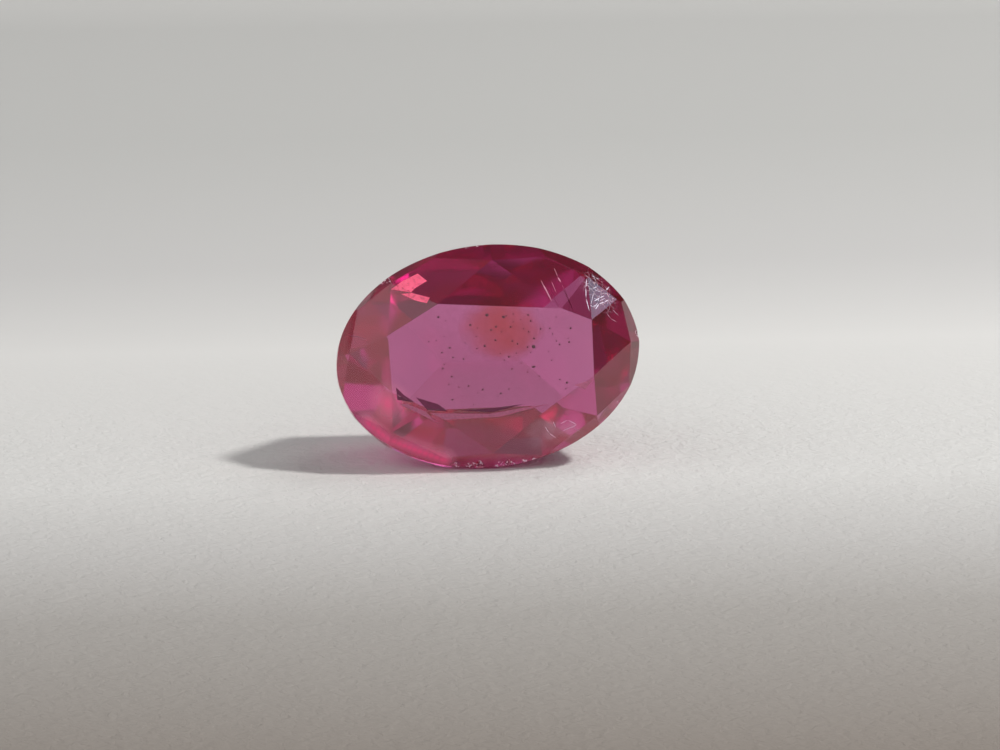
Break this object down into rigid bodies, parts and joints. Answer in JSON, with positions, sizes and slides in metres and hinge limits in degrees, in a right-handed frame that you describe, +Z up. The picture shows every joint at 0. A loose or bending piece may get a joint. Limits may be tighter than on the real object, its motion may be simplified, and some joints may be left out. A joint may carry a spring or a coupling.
{
  "type": "faceted oval ruby gemstone",
  "caption": "Loose oval ruby with a flat table, faceted crown and deep faceted back, for setting in jewellery; it rests on one steep back facet.",
  "frame": {"origin": "under the middle of the bounding box, in the plane that the stone rests on", "axes": "+X along the stone's long side, +Z up, and the table faces -Y and 18 degrees upwards"},
  "size_m": [0.008, 0.0046, 0.0056],
  "materials": {
    "polished_ruby": "polished, lightly worn"
  },
  "bodies": {
    "root": {"ruby": "polished_ruby"}
  },
  "joints": []
}
